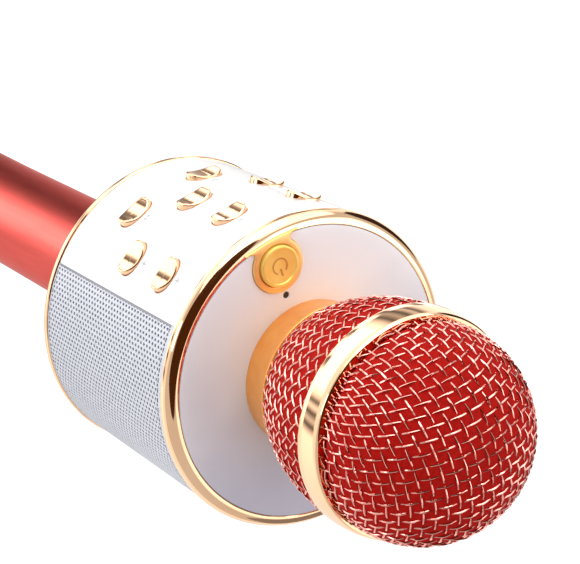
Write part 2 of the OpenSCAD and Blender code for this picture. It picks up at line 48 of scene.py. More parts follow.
MM = 0.001
DRUM = "drum_and_grip"
HEAD = "grille_head"
FACING = -90.0          # direction of the panel's middle, in degrees about +Z
SMOOTH_ANGLE = 32.0     # edges sharper than this stay sharp


# ---- places, from the frame ----

def low(node, axis):
    """Lowest coordinate of a CAD node along an axis, in millimetres."""
    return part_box(node)[0][axis] / MM


def high(node, axis):
    """Highest coordinate of a CAD node along an axis, in millimetres."""
    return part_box(node)[1][axis] / MM


X, Y, Z = 0, 1, 2
grip_end_z = low("handle_tube", Z)
rear_plate_z = low("rear_plate", Z)
panel_lo_z = low("control_panel", Z)
panel_hi_z = high("control_panel", Z)
front_r = high("front_bezel", X)
bezel_lo_z = low("front_bezel", Z)
lug_top_z = high("front_bezel", Z)
top_face_z = high("top_plate", Z)
top_plate_r = high("top_plate", X)
collar_top_z = high("collar", Z)
collar_rim_r = high("collar", X)
band_lo_z = low("head_band", Z)
band_hi_z = high("head_band", Z)
mesh_lo_z = low("rear_mesh", Z)
dome_r = 26.57          # outermost wire crests of the front dome
dome_z = high("front_mesh", Z) - dome_r
drum_taper = 0.0368     # how much the drum narrows per millimetre towards the grip
skin_top_r = high("speaker_grille", Y)
grip_top_r = 14.4       # radius of the grip under the drum
grip_r = 13.5           # radius of the grip near its end
power_y = (low("power_button", Y) + high("power_button", Y)) / 2
power_r = 5.2           # radius of the power button's disc
lug_r = 6.9             # radius of the gold lug around the power button
seam = 0.02             # gap between pieces that lie against each other
bezel_in_r = top_plate_r + 0.1
light_y = (low("status_light", Y) + high("status_light", Y)) / 2


def drum_r(z):
    """Radius of the drum's outer skin at a height."""
    return skin_top_r - drum_taper * (panel_hi_z - z)


# ---- outlines ----

def arc(centre, radii, start, end, steps):
    """Points of an elliptic arc, angles in degrees."""
    angles = [math.radians(start + (end - start) * i / steps) for i in range(steps + 1)]
    return [(centre[0] + radii[0] * math.cos(a), centre[1] + radii[1] * math.sin(a)) for a in angles]


def filleted(corners, steps=5):
    """Closed outline from (x, y, fillet radius) corners, with each corner rounded."""
    outline = []
    count = len(corners)
    most = 0.45     # the share of an edge that a fillet may take
    for i, (x, y, radius) in enumerate(corners):
        corner = Vector((x, y))
        before = Vector(corners[i - 1][:2]) - corner
        after = Vector(corners[(i + 1) % count][:2]) - corner
        if radius <= 0:
            outline.append((x, y))
            continue
        half = before.angle(after) / 2
        reach = min(radius / math.tan(half), most * before.length, most * after.length)
        start = corner + before.normalized() * reach
        end = corner + after.normalized() * reach
        for k in range(steps + 1):
            t = k / steps
            point = start * (1 - t) ** 2 + corner * 2 * t * (1 - t) + end * t ** 2
            outline.append((point.x, point.y))
    return outline


def circle(x, y, radius, count):
    """Points of a circle, anticlockwise."""
    return arc((x, y), (radius, radius), 0, 360, count)[:-1]


def oval(length, width, count=56):
    """Points of a button's oval: long along the first axis, a little fuller than an ellipse."""
    points = []
    for i in range(count):
        a = 2 * math.pi * i / count
        c = math.cos(a)
        s = math.sin(a)
        points.append((
            length / 2 * math.copysign(abs(c) ** 0.94, c),
            width / 2 * math.copysign(abs(s) ** 0.94, s),
        ))
    return points


# ---- meshes ----

def add_piece(name, points, faces, body, material, slot, nodes=(), tidy=True):
    """Object from points in millimetres: it rides on a body and stands for CAD nodes. Tidy joins its
    doubled points and turns its faces outwards."""
    mesh = bpy.data.meshes.new(name)
    mesh.from_pydata((np.asarray(points, dtype=float) * MM).tolist(), [], faces)
    if tidy:
        bm = bmesh.new()
        bm.from_mesh(mesh)
        bmesh.ops.remove_doubles(bm, verts=bm.verts, dist=1e-7)
        bmesh.ops.recalc_face_normals(bm, faces=bm.faces)
        bm.to_mesh(mesh)
        bm.free()
    mesh.validate()
    mesh.shade_smooth()
    mesh.set_sharp_from_angle(angle=math.radians(SMOOTH_ANGLE))
    mesh.materials.append(material)
    obj = bpy.data.objects.new(name, mesh)
    scene.collection.objects.link(obj)
    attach(obj, body)
    if nodes:
        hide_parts(*nodes)
    return obj


def join(*shapes):
    """One (points, faces) shape from several."""
    points = []
    faces = []
    for shape_points, shape_faces in shapes:
        base = len(points)
        points.extend(shape_points)
        faces.extend([[base + i for i in face] for face in shape_faces])
    return points, faces


def turned(outline, steps=192):
    """A closed (radius, height) outline turned about the axis."""
    count = len(outline)
    points = []
    for k in range(steps):
        a = 2 * math.pi * k / steps
        points.extend((r * math.cos(a), r * math.sin(a), z) for r, z in outline)
    faces = []
    for k in range(steps):
        here = k * count
        there = ((k + 1) % steps) * count
        for i in range(count):
            j = (i + 1) % count
            faces.append([here + i, here + j, there + j, there + i])
    return points, faces


def lofted(rings, cap_start=True, cap_end=True):
    """Closed rings of the same length joined one after the other, with flat ends."""
    count = len(rings[0])
    points = [point for ring in rings for point in ring]
    faces = []
    for k in range(len(rings) - 1):
        for i in range(count):
            j = (i + 1) % count
            faces.append([k * count + i, k * count + j, (k + 1) * count + j, (k + 1) * count + i])
    if cap_start:
        faces.append(list(range(count - 1, -1, -1)))
    if cap_end:
        last = (len(rings) - 1) * count
        faces.append([last + i for i in range(count)])
    return points, faces


def offset(outline, distance):
    """Outline moved outwards along its own normals; it runs anticlockwise."""
    count = len(outline)
    moved = []
    for i in range(count):
        ax, ay = outline[i - 1]
        bx, by = outline[(i + 1) % count]
        length = math.hypot(bx - ax, by - ay)
        x, y = outline[i]
        moved.append((x + distance * (by - ay) / length, y - distance * (bx - ax) / length))
    return moved


def sheet(outline, holes, thickness, lip, place, spacing):
    """Flat or curved sheet with holes. Its edges roll over with radius lip, and place(u, v, depth)
    puts a point of the flat pattern in space."""
    rims = [(outline, -1)] + [(hole, 1) for hole in holes]
    flat = []
    loops = []
    for loop, inward in rims:
        edge = offset(loop, inward * lip)
        loops.append(list(range(len(flat), len(flat) + len(edge))))
        flat.extend(edge)
    xs = [p[0] for p in outline]
    ys = [p[1] for p in outline]
    edge_points = np.array(flat)
    clear = 0.45    # how near an edge an inner point may lie, as a share of the spacing
    steps_u = int((max(xs) - min(xs)) / spacing)
    steps_v = int((max(ys) - min(ys)) / spacing)
    for i in range(1, steps_u):
        for j in range(1, steps_v):
            u = min(xs) + (max(xs) - min(xs)) * i / steps_u
            v = min(ys) + (max(ys) - min(ys)) * j / steps_v
            if np.hypot(edge_points[:, 0] - u, edge_points[:, 1] - v).min() > clear * spacing:
                flat.append((u, v))
    edges = [(loop[i], loop[(i + 1) % len(loop)]) for loop in loops for i in range(len(loop))]
    found = delaunay_2d_cdt([Vector(p) for p in flat], edges, [], 0, 1e-6)
    verts = [(v.x, v.y) for v in found[0]]
    loop_arrays = [np.array([flat[k] for k in loop]) for loop in loops]

    def inside(x, y, loop):
        following = np.roll(loop, -1, axis=0)
        above = (loop[:, 1] > y) != (following[:, 1] > y)
        rise = np.where(above, following[:, 1] - loop[:, 1], 1.0)
        cross = loop[:, 0] + (y - loop[:, 1]) * (following[:, 0] - loop[:, 0]) / rise
        return bool(np.sum(above & (x < cross)) % 2)

    faces = []
    for face in found[2]:
        cx = sum(verts[k][0] for k in face) / len(face)
        cy = sum(verts[k][1] for k in face) / len(face)
        if inside(cx, cy, loop_arrays[0]) and not any(inside(cx, cy, a) for a in loop_arrays[1:]):
            faces.append(list(face))
    shapes = [([place(x, y, 0) for x, y in verts], faces)]
    for loop, inward in rims:
        rings = []
        for k in range(5):
            a = math.radians(90 * k / 4)
            ring = offset(loop, inward * lip * (1 - math.sin(a)))
            rings.append([place(x, y, lip * (1 - math.cos(a))) for x, y in ring])
        rings.append([place(x, y, thickness) for x, y in loop])
        shapes.append(lofted(rings, cap_start=False, cap_end=False))
    return join(*shapes)


def flat_at(top):
    """Lays a sheet flat, with its upper face at a height."""
    return lambda u, v, depth: (u, v, top - depth)


# ---- materials ----

def colour(red, green, blue):
    """Linear colour from 0-255 screen values."""
    def channel(value):
        v = value / 255
        return v / 12.92 if v <= 0.04045 else ((v + 0.055) / 1.055) ** 2.4
    return (channel(red), channel(green), channel(blue), 1.0)


def new_material(name):
    """Material with its shader and a node that gives places on the object."""
    material = bpy.data.materials.new(name)
    material.use_nodes = True
    tree = material.node_tree
    return material, tree, tree.nodes["Principled BSDF"], tree.nodes.new("ShaderNodeTexCoord")


def tone_ramp(tree, source, tones):
    """Colour ramp fed by a socket; tones are (position, colour)."""
    ramp = tree.nodes.new("ShaderNodeValToRGB")
    tree.links.new(source, ramp.inputs["Fac"])
    stops = ramp.color_ramp.elements
    for k, (position, tone) in enumerate(tones):
        stop = stops[k] if k < 2 else stops.new(position)
        stop.position = position
        stop.color = tone
    return ramp


def surface(name, dark, light, grain=400.0, stretch=(1, 1, 1), rough=(0.3, 0.4), bump=0.1,
            bump_grain=1500.0, bump_depth=0.00002, painted_light_drift=None, **constants):
    """Material with a grained colour, an uneven roughness and a fine bump. Drift is a vector along which the
    colour goes from dark to light: painted light and shade across the piece. Constants are values for the
    shader's own sockets."""
    material, tree, shader, place = new_material(name)
    link = tree.links.new
    mapping = tree.nodes.new("ShaderNodeMapping")
    mapping.inputs["Scale"].default_value = stretch
    link(place.outputs["Object"], mapping.inputs["Vector"])

    def noise_node(scale, detail):
        node = tree.nodes.new("ShaderNodeTexNoise")
        node.inputs["Scale"].default_value = scale
        node.inputs["Detail"].default_value = detail
        link(mapping.outputs["Vector"], node.inputs["Vector"])
        return node

    noise = noise_node(grain, 4)
    ramp = tone_ramp(tree, noise.outputs["Fac"], [(0.3, dark), (0.7, light)])
    if painted_light_drift:
        lean = tree.nodes.new("ShaderNodeVectorMath")
        lean.operation = "DOT_PRODUCT"
        lean.inputs[1].default_value = painted_light_drift
        link(place.outputs["Object"], lean.inputs[0])
        total = tree.nodes.new("ShaderNodeMath")
        link(lean.outputs["Value"], total.inputs[0])
        link(noise.outputs["Fac"], total.inputs[1])
        link(total.outputs["Value"], ramp.inputs["Fac"])
    link(ramp.outputs["Color"], shader.inputs["Base Color"])
    wear = tree.nodes.new("ShaderNodeMapRange")
    spans = {"From Min": 0.3, "From Max": 0.7, "To Min": rough[0], "To Max": rough[1]}
    for socket, value in spans.items():
        wear.inputs[socket].default_value = value
    link(noise.outputs["Fac"], wear.inputs["Value"])
    link(wear.outputs["Result"], shader.inputs["Roughness"])
    if bump > 0:
        fine = noise_node(bump_grain, 3)
        relief = tree.nodes.new("ShaderNodeBump")
        relief.inputs["Strength"].default_value = bump
        relief.inputs["Distance"].default_value = bump_depth
        link(fine.outputs["Fac"], relief.inputs["Height"])
        link(relief.outputs["Normal"], shader.inputs["Normal"])
    for socket, value in constants.items():
        shader.inputs[socket.replace("_", " ")].default_value = value
    return material


gold_chrome = surface("gold_chrome", colour(252, 204, 162), colour(255, 213, 174), grain=60,
                      rough=(0.05, 0.09), bump=0.04, bump_grain=180, Metallic=1.0)
gold_satin = surface("gold_satin", colour(248, 168, 78), colour(254, 182, 94), grain=300, rough=(0.34, 0.4),
                     bump=0.02, Metallic=0.55)
gold_lug = surface("gold_lug", colour(254, 198, 118), colour(255, 212, 138), grain=120, rough=(0.34, 0.4),
                   bump=0.02, bump_grain=600, Metallic=0.5)
gold_disc = surface("gold_disc", colour(255, 216, 108), colour(255, 228, 126), grain=240,
                    rough=(0.32, 0.38), bump=0.03, bump_grain=900, Metallic=0.5)
red_grip = surface("red_grip", colour(244, 104, 96), colour(250, 114, 106), grain=500, stretch=(1, 1, 0.1),
                   rough=(0.24, 0.27), bump=0.01, Metallic=1.0, Specular_Tint=colour(255, 214, 210))
red_cap = surface("red_cap", colour(168, 34, 24), colour(196, 52, 38), grain=700, bump_grain=3000,
                  Metallic=0.8)
pink_wire = surface("pink_wire", colour(236, 158, 144), colour(248, 184, 172), grain=250,
                    rough=(0.03, 0.08), bump=0.03, bump_grain=900, Metallic=1.0)
red_foam = surface("red_foam", colour(160, 14, 8), colour(190, 24, 16), grain=900, rough=(0.85, 1.0),
                   bump=0.5, bump_grain=1600, bump_depth=0.0001, Specular_IOR_Level=0.08)
panel_white = surface("panel_white", colour(250, 249, 249), colour(254, 253, 252), grain=120,
                      rough=(0.1, 0.14), bump=0.02, bump_grain=200)
# painted light and shade: the plate is lit pale towards -Y, where the key light falls, and painted
# lavender-grey on its shaded side
plate_white_painted_light = surface("plate_white_painted_light", colour(194, 196, 214), colour(248, 250, 255), grain=12,
                      rough=(0.3, 0.36), bump=0.02, bump_grain=1800, painted_light_drift=(0, -7.0, 0))
grille_white = surface("grille_white", colour(206, 209, 219), colour(218, 221, 231), grain=600, bump=0.08,
                       bump_grain=2500)
trim_grey = surface("trim_grey", colour(132, 134, 144), colour(152, 154, 164), grain=700, rough=(0.4, 0.5),
                    bump_grain=2500)
dark_cloth = surface("dark_cloth", colour(14, 15, 18), colour(44, 46, 54), grain=2600, rough=(0.85, 0.95),
                     bump=0.5, bump_grain=4000, bump_depth=0.0001)
black_rubber = surface("black_rubber", colour(18, 18, 18), colour(34, 34, 34), grain=700, rough=(0.6, 0.75),
                       bump=0.2, bump_grain=2500)
black_plastic = surface("black_plastic", colour(20, 20, 22), colour(36, 36, 40), grain=500,
                        rough=(0.35, 0.5), bump=0.12, bump_grain=2200)
frame_plastic = surface("frame_plastic", colour(206, 206, 204), colour(224, 224, 222), grain=300,
                        rough=(0.45, 0.55), bump_grain=1800)
steel = surface("steel", colour(170, 172, 176), colour(206, 208, 212), grain=500, rough=(0.2, 0.32),
                bump=0.08, bump_grain=2200, Metallic=1.0)
dark_board = surface("dark_board", colour(60, 48, 40), colour(84, 68, 56), grain=500, stretch=(1, 1, 0.2),
                     rough=(0.6, 0.75), bump=0.2)
ferrite = surface("ferrite", colour(48, 50, 54), colour(70, 72, 78), grain=900, rough=(0.55, 0.7),
                  bump=0.25, bump_grain=2500)
paper = surface("paper", colour(36, 34, 32), colour(58, 56, 54), grain=900, rough=(0.8, 0.95), bump=0.35,
                bump_grain=2400)
circuit_green = surface("circuit_green", colour(16, 72, 40), colour(30, 104, 60), grain=350,
                        rough=(0.3, 0.42), bump_grain=1200)
cell_blue = surface("cell_blue", colour(28, 62, 140), colour(44, 84, 172), grain=300, rough=(0.25, 0.34),
                    bump=0.05, bump_grain=900)
print_grey = surface("print_grey", colour(172, 170, 186), colour(190, 188, 202), grain=500,
                     rough=(0.4, 0.5), bump=0.02)
mark_brown = surface("mark_brown", colour(206, 140, 62), colour(226, 160, 78), grain=700,
                     rough=(0.35, 0.45), bump=0.05)
floor_white = surface("floor_white", colour(252, 252, 252), colour(255, 255, 255), grain=3,
                      rough=(0.6, 0.7), bump=0.0, Emission_Color=(1, 1, 1, 1), Emission_Strength=0.36)


# ---- grip ----

def make_grip():
    """Red anodised tube, the gold ring at its end and the flared gold ring under the drum."""
    neck_z = low("neck_ring", Z)
    bore_r = 12.0
    taper_lo_z = 30.0
    taper_hi_z = neck_z - 1.8
    tube_hi_z = rear_plate_z - seam
    tube = filleted([
        (bore_r, grip_end_z, 0), (grip_r, grip_end_z, 0.3), (grip_r, taper_lo_z, 40.0),
        (grip_top_r, taper_hi_z, 30.0), (grip_top_r, tube_hi_z, 0), (bore_r, tube_hi_z, 0)
    ])
    add_piece("grip_tube", *turned(tube), DRUM, red_grip, "anodised_grip", ["handle_tube"])
    ring_bore_r = 11.5
    ring_r = high("end_ring", X)
    ring_lo = low("end_ring", Z)
    ring_hi = grip_end_z - seam
    ring = filleted([
        (ring_bore_r, ring_lo, 0), (ring_r, ring_lo, 0.35), (ring_r, ring_hi, 0.25), (ring_bore_r, ring_hi, 0)
    ])
    add_piece("end_trim", *turned(ring), DRUM, gold_chrome, "gold_chrome", ["end_ring"])
    neck_hi = high("neck_ring", Z)
    foot_r = grip_top_r + 1.1
    foot_round = 0.35
    flare_reach = 2.58      # how much wider the flare is at the drum than at its foot
    flare_height = neck_hi - neck_z - foot_round
    flare = [(grip_top_r + seam, neck_z)]
    flare += arc((foot_r - foot_round, neck_z + foot_round), (foot_round, foot_round), -90, 0, 4)
    for i in range(1, 17):
        a = math.radians(90 * i / 16)
        r = foot_r + flare_reach * (1 - math.cos(a))
        flare.append((r, neck_z + foot_round + flare_height * math.sin(a)))
    flare.append((grip_top_r + seam, neck_hi))
    add_piece("neck_trim", *turned(flare), DRUM, gold_chrome, "gold_chrome", ["neck_ring"])


# ---- drum ----

def on_drum(around, z, depth):
    """Point of the drum's skin: around is an arc length at the panel's front edge."""
    a = math.radians(FACING) + around / skin_top_r
    r = drum_r(z) - depth
    return (r * math.cos(a), r * math.sin(a), z)


def along(degrees):
    """Arc length at the panel's front edge for an angle from the panel's middle."""
    return math.radians(degrees) * skin_top_r


button_size = (9.2, 6.5)    # length around the drum, and width along it
button_rise = -low("button_play", Y) - drum_r((low("button_play", Z) + high("button_play", Z)) / 2)
hole_gap = 0.2
column = 31.7               # degrees between two columns of buttons
rows = [panel_hi_z - 13.5, panel_hi_z - 29.5, panel_hi_z - 41.9]
button_places = {
    "button_music_down": (-column, rows[0]),
    "button_play": (0, rows[0]),
    "button_music_up": (column, rows[0]),
    "button_echo_down": (-column, rows[1]),
    "button_mode": (0, rows[1]),
    "button_echo_up": (column, rows[1]),
    "button_previous": (-column / 2, rows[2]),
    "button_next": (column / 2, rows[2]),
}
panel_half_angle = 46.0     # degrees from the panel's middle to its edge


def make_panel():
    """White curved panel with a rolled lip around each button hole."""
    corner_r = 0.5
    thickness = 1.2
    lip = 0.18
    spacing = 1.2
    half = along(panel_half_angle)
    corners = [(-half, panel_lo_z), (half, panel_lo_z), (half, panel_hi_z), (-half, panel_hi_z)]
    outline = filleted([(x, y, corner_r) for x, y in corners], 4)
    dense = []
    for i, (x, y) in enumerate(outline):
        nx, ny = outline[(i + 1) % len(outline)]
        parts = max(1, int(math.hypot(nx - x, ny - y) / spacing))
        dense.extend((x + (nx - x) * k / parts, y + (ny - y) * k / parts) for k in range(parts))
    holes = []
    for angle, z in button_places.values():
        hole = oval(button_size[0] + 2 * hole_gap, button_size[1] + 2 * hole_gap)
        holes.append([(along(angle) + x * skin_top_r / drum_r(z), z + y) for x, y in hole])
    shape = sheet(dense, holes, thickness, lip, on_drum, spacing)
    add_piece("panel_shell", *shape, DRUM, panel_white, "white_gloss", ["control_panel"])


def make_buttons():
    """Eight oval chrome keys with a rounded edge and a top scooped along its length."""
    base = oval(*button_size)
    half_long = button_size[0] / 2
    half_wide = button_size[1] / 2
    edge_r = 0.5
    end_land = 0.8          # flat stretch at each end of the scoop
    scoop = 0.8
    skirt = 3.4             # how far a key reaches in under the panel's skin
    middle = 0.05           # half the width of the innermost ring of points
    half_chord = half_long - end_land
    scoop_r = (half_chord ** 2 + scoop ** 2) / (2 * scoop)

    def top(u):
        """Height of a key's top over the drum, at a distance along the key from its middle."""
        if abs(u) >= half_chord:
            return button_rise
        return button_rise - scoop + scoop_r - math.sqrt(scoop_r ** 2 - u ** 2)

    # how far in from the key's edge, and how far below its top
    profile = []
    for k in range(7):
        a = math.radians(15 * k)
        profile.append((edge_r * (1 - math.cos(a)), edge_r * (1 - math.sin(a))))
    profile += [(edge_r + (half_wide - edge_r - middle) * k / 8, 0.0) for k in range(1, 9)]
    for name, (angle, z) in button_places.items():
        a = math.radians(FACING + angle)
        r = drum_r(z)
        outward = Vector((math.cos(a), math.sin(a), 0))
        around = Vector((-math.sin(a), math.cos(a), 0))
        rings = [[tuple(outward * (r - skirt) + around * u + Vector((0, 0, z + v))) for u, v in base]]
        for inward, drop in profile:
            ring = []
            for u, v in base:
                u2 = u * (1 - inward / half_long)
                v2 = v * (1 - inward / half_wide)
                ring.append(tuple(outward * (r + top(u2) - drop) + around * u2 + Vector((0, 0, z + v2))))
            rings.append(ring)
        add_piece(name.replace("button", "key"), *lofted(rings), name, gold_chrome, "gold_chrome", [name])


def make_print():
    """Faint generic signs beside the keys: bars, crosses, triangles and dots."""
    beside = 5.3            # from a key's middle to its sign's middle
    sunk = 0.03
    proud = 0.015
    minus = [[(-0.9, -0.16), (0.9, -0.16), (0.9, 0.16), (-0.9, 0.16)]]
    plus = minus + [[(-0.16, 0.2), (0.16, 0.2), (0.16, 0.9), (-0.16, 0.9)],
                    [(-0.16, -0.9), (0.16, -0.9), (0.16, -0.2), (-0.16, -0.2)]]
    ahead = [[(-1.0, -0.6), (-0.1, 0), (-1.0, 0.6)], [(0.1, -0.6), (1.0, 0), (0.1, 0.6)]]
    back = [[(-x, -y) for x, y in part] for part in ahead]
    play = [[(-0.5, -0.7), (0.7, 0), (-0.5, 0.7)]]
    dots = [circle(x, 0, 0.3, 12) for x in (-1.0, 0, 1.0)]
    signs = {
        "button_music_down": minus, "button_play": play, "button_music_up": plus, "button_echo_down": minus,
        "button_mode": dots, "button_echo_up": plus, "button_previous": back, "button_next": ahead,
    }
    shapes = []
    for name, parts in signs.items():
        angle, z = button_places[name]
        for part in parts:
            rings = []
            for depth in (sunk, -proud):
                rings.append([on_drum(along(angle) + x, z + beside + y, depth) for x, y in part])
            shapes.append(lofted(rings))
    add_piece("panel_print", *join(*shapes), DRUM, print_grey, "white_gloss")


def make_grille():
    """Perforated skin: a staggered lattice of round holes, with plain strips along its edges."""
    hole_r = 0.42
    hole_depth = 0.45
    pitch_z = 1.43          # between the holes of one line, which runs along the drum
    pitch_a = 1.24          # between two lines, before they are spread evenly
    first = panel_half_angle + 1.8
    lo_z = panel_lo_z + 0.1
    hi_z = panel_hi_z - 1.5
    row_count = int(along(360 - 2 * first) / pitch_a)
    step = along(360 - 2 * first) / row_count
    per_row = int((hi_z - lo_z) / pitch_z)
    rows_i, cells_j = np.meshgrid(np.arange(row_count + 1), np.arange(per_row), indexing="ij")
    centre_u = (along(first) + rows_i * step).ravel()
    centre_v = (lo_z + pitch_z / 2 + cells_j * pitch_z + (rows_i % 2) * pitch_z / 2).ravel()
    third = step / 3
    hexagon = np.array([
        (2 * third, 0), (third, pitch_z / 2), (-third, pitch_z / 2),
        (-2 * third, 0), (-third, -pitch_z / 2), (third, -pitch_z / 2)
    ])
    turn = (np.arange(8) + 0.5) * math.pi / 4
    octagon = hole_r * np.stack([np.cos(turn), np.sin(turn)], 1)
    pattern = np.concatenate([hexagon, octagon, octagon])
    depth = np.array([0.0] * 14 + [hole_depth] * 8)
    u = centre_u[:, None] + pattern[:, 0]
    v = centre_v[:, None] + pattern[:, 1]
    angle = math.radians(FACING) + u / skin_top_r
    radius = drum_r(v) - depth
    points = np.stack([radius * np.cos(angle), radius * np.sin(angle), v], -1).reshape(-1, 3)
    # hexagon corners lie at 0, 60 ... degrees and octagon corners at 22.5, 67.5 ... degrees
    cell = [
        (0, 13, 6), (0, 6, 1), (1, 6, 7), (1, 7, 8), (1, 8, 2), (2, 8, 9), (2, 9, 3), (3, 9, 10),
        (3, 10, 4), (4, 10, 11), (4, 11, 12), (4, 12, 5), (5, 12, 13), (5, 13, 0)
    ]
    cell += [(6 + k, 14 + k, 14 + (k + 1) % 8) for k in range(8)]
    cell += [(6 + k, 14 + (k + 1) % 8, 6 + (k + 1) % 8) for k in range(8)]
    faces = (np.array(cell)[None] + 22 * np.arange(len(centre_u))[:, None, None]).reshape(-1, 3)
    strips = []
    proud = 0.004
    strip_depth = 0.5
    last = 360 - first
    for u_lo, u_hi, v_lo, v_hi in (
        (along(panel_half_angle + 1.0), along(first) - step * 0.25, panel_lo_z, panel_hi_z),
        (along(last) + step * 0.25, along(360 - panel_half_angle - 1.0), panel_lo_z, panel_hi_z),
        (along(first) - step, along(last) + step, hi_z - 0.2, panel_hi_z),
        (along(first) - step, along(last) + step, panel_lo_z, lo_z + 0.25),
    ):
        parts = max(2, int((u_hi - u_lo) / 0.8))
        grid = []
        for i in range(parts + 1):
            at = u_lo + (u_hi - u_lo) * i / parts
            grid.append([on_drum(at, v_lo, strip_depth), on_drum(at, v_lo, -proud),
                         on_drum(at, v_hi, -proud), on_drum(at, v_hi, strip_depth)])
        strips.append(lofted(grid))
    strip_points, strip_faces = join(*strips)
    base = len(points)
    all_points = points.tolist() + [list(p) for p in strip_points]
    all_faces = faces.tolist() + [[base + i for i in face] for face in strip_faces]
    add_piece("grille_skin", all_points, all_faces, DRUM, grille_white, "grille_metal",
              ["speaker_grille"], tidy=False)
    trim_depth = 0.6
    trim_side = 0.22        # how deep the trim's two sides lie under the drum's skin
    trim_middle = 0.14
    for side, name in ((1, "grille_edge_left"), (-1, "grille_edge_right")):
        ring = []
        near = along(panel_half_angle + 0.04) * side
        far = along(panel_half_angle + 1.05) * side
        for k in range(41):
            z = panel_lo_z + (panel_hi_z - panel_lo_z) * k / 40
            ring.append([on_drum(near, z, trim_depth), on_drum(near, z, trim_side),
                         on_drum((near + far) / 2, z, trim_middle),
                         on_drum(far, z, trim_side), on_drum(far, z, trim_depth)])
        add_piece(name, *lofted(ring), DRUM, trim_grey, "grille_metal")


def make_bezel():
    """Gold bezel around the drum's front."""
    edge_round = 0.25
    crown_z = bezel_lo_z + 0.3
    crown_height = top_face_z - bezel_lo_z - 0.27
    inner_drop = 0.22       # how far the inner edge lies under the plate's face
    outline = [(bezel_in_r, bezel_lo_z)]
    outline += arc((front_r - edge_round, bezel_lo_z + edge_round), (edge_round, edge_round), -90, 0, 4)
    crown = (front_r - bezel_in_r - edge_round, crown_height)
    outline += arc((bezel_in_r + edge_round, crown_z), crown, 0, 90, 20)
    outline.append((bezel_in_r, top_face_z - inner_drop))
    add_piece("bezel", *turned(outline), DRUM, gold_chrome, "gold_chrome", ["front_bezel"])


def make_lug():
    """Gold lug around the power button, with a waist that widens into the bezel."""
    waist = 38.0            # degrees under the button's middle at which the round part ends
    button_gap = 0.15
    thickness = 1.3
    lip = 0.32
    spacing = 1.6
    lug = arc((0, power_y), (lug_r, lug_r), -waist, 180 + waist, 60)
    neck = lug_r * math.cos(math.radians(waist))
    waist_y = power_y - lug_r * math.sin(math.radians(waist))
    root_y = -bezel_in_r - 0.1
    left = []
    for k in range(1, 8):
        t = k / 7
        left.append((-neck + 0.5 * math.sin(math.pi * t) - 2.2 * t ** 3, waist_y + (root_y - waist_y) * t))
    right = [(-x, y) for x, y in reversed(left)]
    root = [(x, -math.sqrt((bezel_in_r + 0.5) ** 2 - x ** 2)) for x in (-5, -2.5, 0, 2.5, 5)]
    hole = circle(0, power_y, power_r + button_gap, 64)
    shape = sheet(lug + left + root + right, [hole], thickness, lip, flat_at(lug_top_z), spacing)
    add_piece("bezel_lug", *shape, DRUM, gold_lug, "gold_satin")


def make_plate():
    """White front plate with round openings for the lug, the collar and the status light."""
    lug_gap = 0.1
    spigot_r = 15.92
    light_r = 0.85
    thickness = 1.6
    lip = 0.12
    spacing = 2.4
    holes = [
        circle(0, power_y, lug_r + lug_gap, 64), circle(0, 0, spigot_r, 120), circle(0, light_y, light_r, 24)
    ]
    shape = sheet(circle(0, 0, top_plate_r, 200), holes, thickness, lip, flat_at(top_face_z), spacing)
    add_piece("front_plate", *shape, DRUM, plate_white_painted_light, "white_satin", ["top_plate"])


def make_power_button():
    """Satin disc with a raised rim and a dished middle."""
    top = high("power_button", Z)
    lo = low("power_button", Z)
    stem_r = 2.0
    flange_r = 6.2
    flange_lo_z = lug_top_z - 2.3
    flange_hi_z = lug_top_z - 1.5
    edge_round = 0.35
    dish_r = power_r - 1.25
    dish_drop = 0.32        # how far the dish's edge lies under the rim
    dish_depth = 0.22
    outline = [(0.0, lo), (stem_r, lo), (stem_r, flange_lo_z), (flange_r, flange_lo_z),
               (flange_r, flange_hi_z), (power_r, flange_hi_z)]
    outline += arc((power_r - edge_round, top - edge_round), (edge_round, edge_round), 0, 90, 6)
    outline += [(power_r - 0.75, top - 0.04), (power_r - 0.95, top - 0.3), (dish_r, top - dish_drop)]
    for r in (3.4, 2.6, 1.8, 0.9, 0.0):
        outline.append((r, top - dish_drop - dish_depth * (1 - (r / dish_r) ** 2)))
    points, faces = turned(outline, 120)
    points = [(x, y + power_y, z) for x, y, z in points]
    add_piece("power_disc", points, faces, "power_button", gold_disc, "gold_satin", ["power_button"])


def make_power_sign():
    """The open ring and the bar of a generic power sign, in the button's dish."""
    lo = high("power_button", Z) - 0.5
    hi = lo + 0.12
    ring_in_r = 1.75
    ring_out_r = 2.15
    opening = 38            # half of the ring's opening, in degrees
    section = ((ring_in_r, lo), (ring_in_r, lo + 0.1), (ring_out_r, hi), (ring_out_r, lo))
    ring = []
    for k in range(41):
        a = math.radians(90 + opening + (360 - 2 * opening) * k / 40)
        ring.append([(r * math.cos(a), power_y + r * math.sin(a), z) for r, z in section])
    bar = []
    for y, w in ((0.7, 0.18), (0.8, 0.22), (2.5, 0.22), (2.6, 0.18)):
        bar.append([(x, power_y + y, z) for x, z in ((-w, lo), (w, lo), (w, hi), (-w, hi))])
    add_piece("power_sign", *join(lofted(ring), lofted(bar)), "power_button", mark_brown, "gold_satin")


def make_collar():
    """Flared satin collar with a rounded rim."""
    foot_r = 18.2
    bore_r = 14.4
    seat_r = 18.0
    seat_z = collar_top_z - 6.4
    chamfer = 0.3
    flare = collar_rim_r - 0.35 - foot_r
    rise = collar_top_z - 0.5 - top_face_z
    outline = [(bore_r, top_face_z + seam), (foot_r, top_face_z + seam)]
    for k in range(1, 17):
        t = k / 16
        outline.append((foot_r + flare * (0.45 * t + 0.55 * t ** 2), top_face_z + rise * t))
    outline += arc((collar_rim_r - 0.5, collar_top_z - 0.42), (0.5, 0.42), 0, 90, 6)
    outline += [(seat_r + chamfer, collar_top_z), (seat_r, collar_top_z - chamfer)]
    outline += [(seat_r, seat_z), (bore_r, seat_z)]
    add_piece("flared_collar", *turned(outline), DRUM, gold_satin, "gold_satin", ["collar"])


# ---- grille head ----

